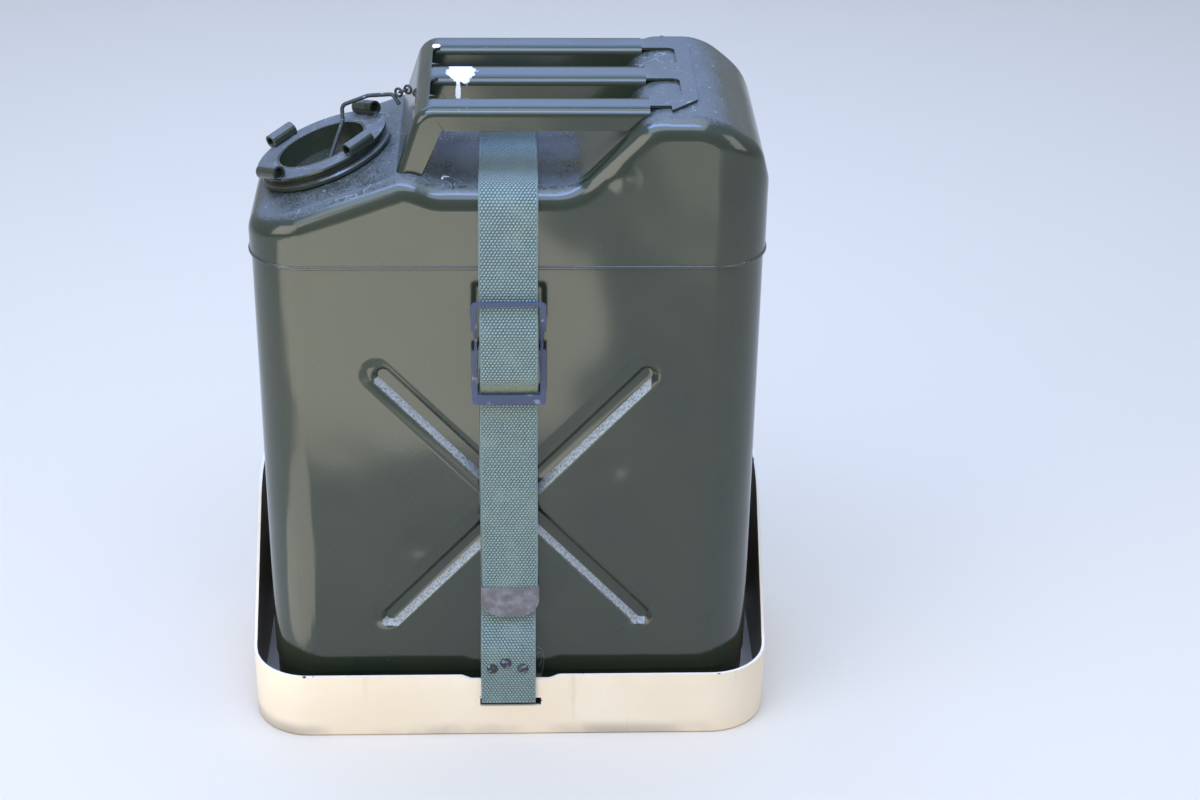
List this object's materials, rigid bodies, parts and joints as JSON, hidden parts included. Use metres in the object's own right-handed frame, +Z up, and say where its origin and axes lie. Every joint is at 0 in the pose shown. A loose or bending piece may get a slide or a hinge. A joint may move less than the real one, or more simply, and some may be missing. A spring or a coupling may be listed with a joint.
{
  "type": "fuel can strapped in a vehicle carrier",
  "caption": "Steel fuel can with barred handle and lugged screw cap, strapped in a low pressed tray that bolts to a vehicle's rear panel.",
  "frame": {"origin": "middle of the four panel bolts, on the back plate's rear face", "axes": "+X to the right seen from the front, +Y into the vehicle, +Z up"},
  "size_m": [0.374, 0.1991, 0.476],
  "materials": {
    "carrier_paint": "satin sand enamel, chipped at the rim",
    "can_paint": "glossy olive drab enamel, dusty on top",
    "gasket_rubber": "matt black",
    "wire_steel": "dull, lightly rusted",
    "webbing": "woven grey-green webbing",
    "hardware_paint": "worn blue-black",
    "tip_metal": "tarnished, dented"
  },
  "bodies": {
    "carrier_and_can": {"carrier_tray": "carrier_paint", "back_plate": "carrier_paint", "can_body": "can_paint", "can_bottom": "can_paint", "can_top": "can_paint", "can_handle": "can_paint", "filler_neck": "can_paint", "cap_chain": "wire_steel", "strap_long": "webbing", "strap_short": "webbing", "strap_rivets": "hardware_paint", "strap_buckle": "hardware_paint", "strap_tip": "tip_metal"},
    "gasket_and_wire": {"cap_gasket": "gasket_rubber", "cap_wire": "wire_steel"},
    "cap": {"cap_ring": "can_paint", "cap_cup": "can_paint"}
  },
  "joints": [
    {"name": "cap_lift", "type": "slide", "parent": "carrier_and_can", "child": "gasket_and_wire", "axis": [-0.342, 0, 0.9397], "range_m": [0, 0.05], "deforming": ["cap_chain"]},
    {"name": "cap_turn", "type": "hinge", "parent": "gasket_and_wire", "child": "cap", "pos_m": [-0.1225, -0.0985, 0.23744], "axis": [-0.342, 0, 0.9397], "range_deg": [0, 540]}
  ]
}
